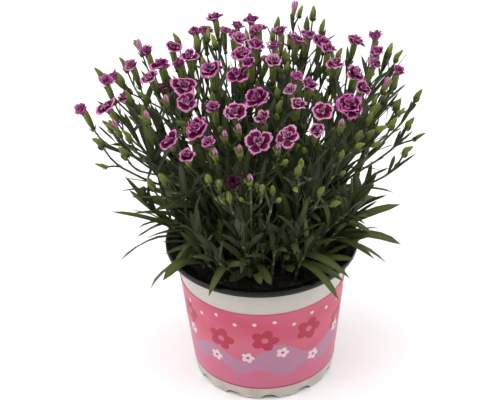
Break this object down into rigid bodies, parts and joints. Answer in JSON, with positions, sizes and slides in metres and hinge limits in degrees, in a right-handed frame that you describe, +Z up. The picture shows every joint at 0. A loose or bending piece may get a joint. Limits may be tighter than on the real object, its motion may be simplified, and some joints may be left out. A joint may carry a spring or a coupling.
{
  "type": "potted dianthus plant",
  "caption": "Bushy dianthus with double pink flowers, buds and narrow leaves, growing in potting mix in a round tapered white pot with a printed band and a black rolled rim.",
  "frame": {"origin": "middle of the pot's underside, on the plane that the pot stands on", "axes": "+Z up, -Y towards the front of the plant, +X to the right as seen from the front"},
  "size_m": [0.2237, 0.2051, 0.2314],
  "materials": {
    "pot_white": "satin white injection-moulded plastic",
    "liner_black": "semi-gloss black plastic",
    "band_print": "printed film label, rose pink",
    "potting_mix": "rough dark peat with small bark crumbs",
    "green_growth": "matt grey-green leaves, stems, buds and calyxes",
    "petals": "velvety magenta petals with pale edges and a burgundy middle"
  },
  "bodies": {
    "root": {"pot": "pot_white", "liner": "liner_black", "printed_band": "band_print", "soil": "potting_mix", "shoot_01": "green_growth", "shoot_02": "green_growth", "shoot_03": "green_growth", "shoot_04": "green_growth", "shoot_05": "green_growth", "shoot_06": "green_growth", "shoot_07": "green_growth", "shoot_08": "green_growth", "shoot_09": "green_growth", "shoot_10": "green_growth", "shoot_11": "green_growth", "shoot_12": "green_growth", "shoot_13": "green_growth", "shoot_14": "green_growth", "shoot_15": "green_growth", "shoot_16": "green_growth", "shoot_17": "green_growth", "shoot_18": "green_growth", "bloom_01": "petals", "bloom_02": "petals", "bloom_03": "petals", "bloom_04": "petals", "bloom_05": "petals", "bloom_06": "petals", "bloom_07": "petals", "bloom_08": "petals", "bloom_09": "petals", "bloom_10": "petals", "bloom_11": "petals", "bloom_12": "petals", "bloom_13": "petals", "bloom_14": "petals", "bloom_15": "petals", "bloom_16": "petals", "bloom_17": "petals", "bloom_18": "petals", "bloom_19": "petals", "bloom_20": "petals", "bloom_21": "petals", "bloom_22": "petals", "bloom_23": "petals", "bloom_24": "petals", "bloom_25": "petals", "bloom_26": "petals", "bloom_27": "petals", "bloom_28": "petals", "bloom_29": "petals", "bloom_30": "petals", "bloom_31": "petals", "bloom_32": "petals", "bloom_33": "petals", "bloom_34": "petals", "bloom_35": "petals", "bloom_36": "petals", "bloom_37": "petals", "bloom_38": "petals"}
  },
  "joints": []
}
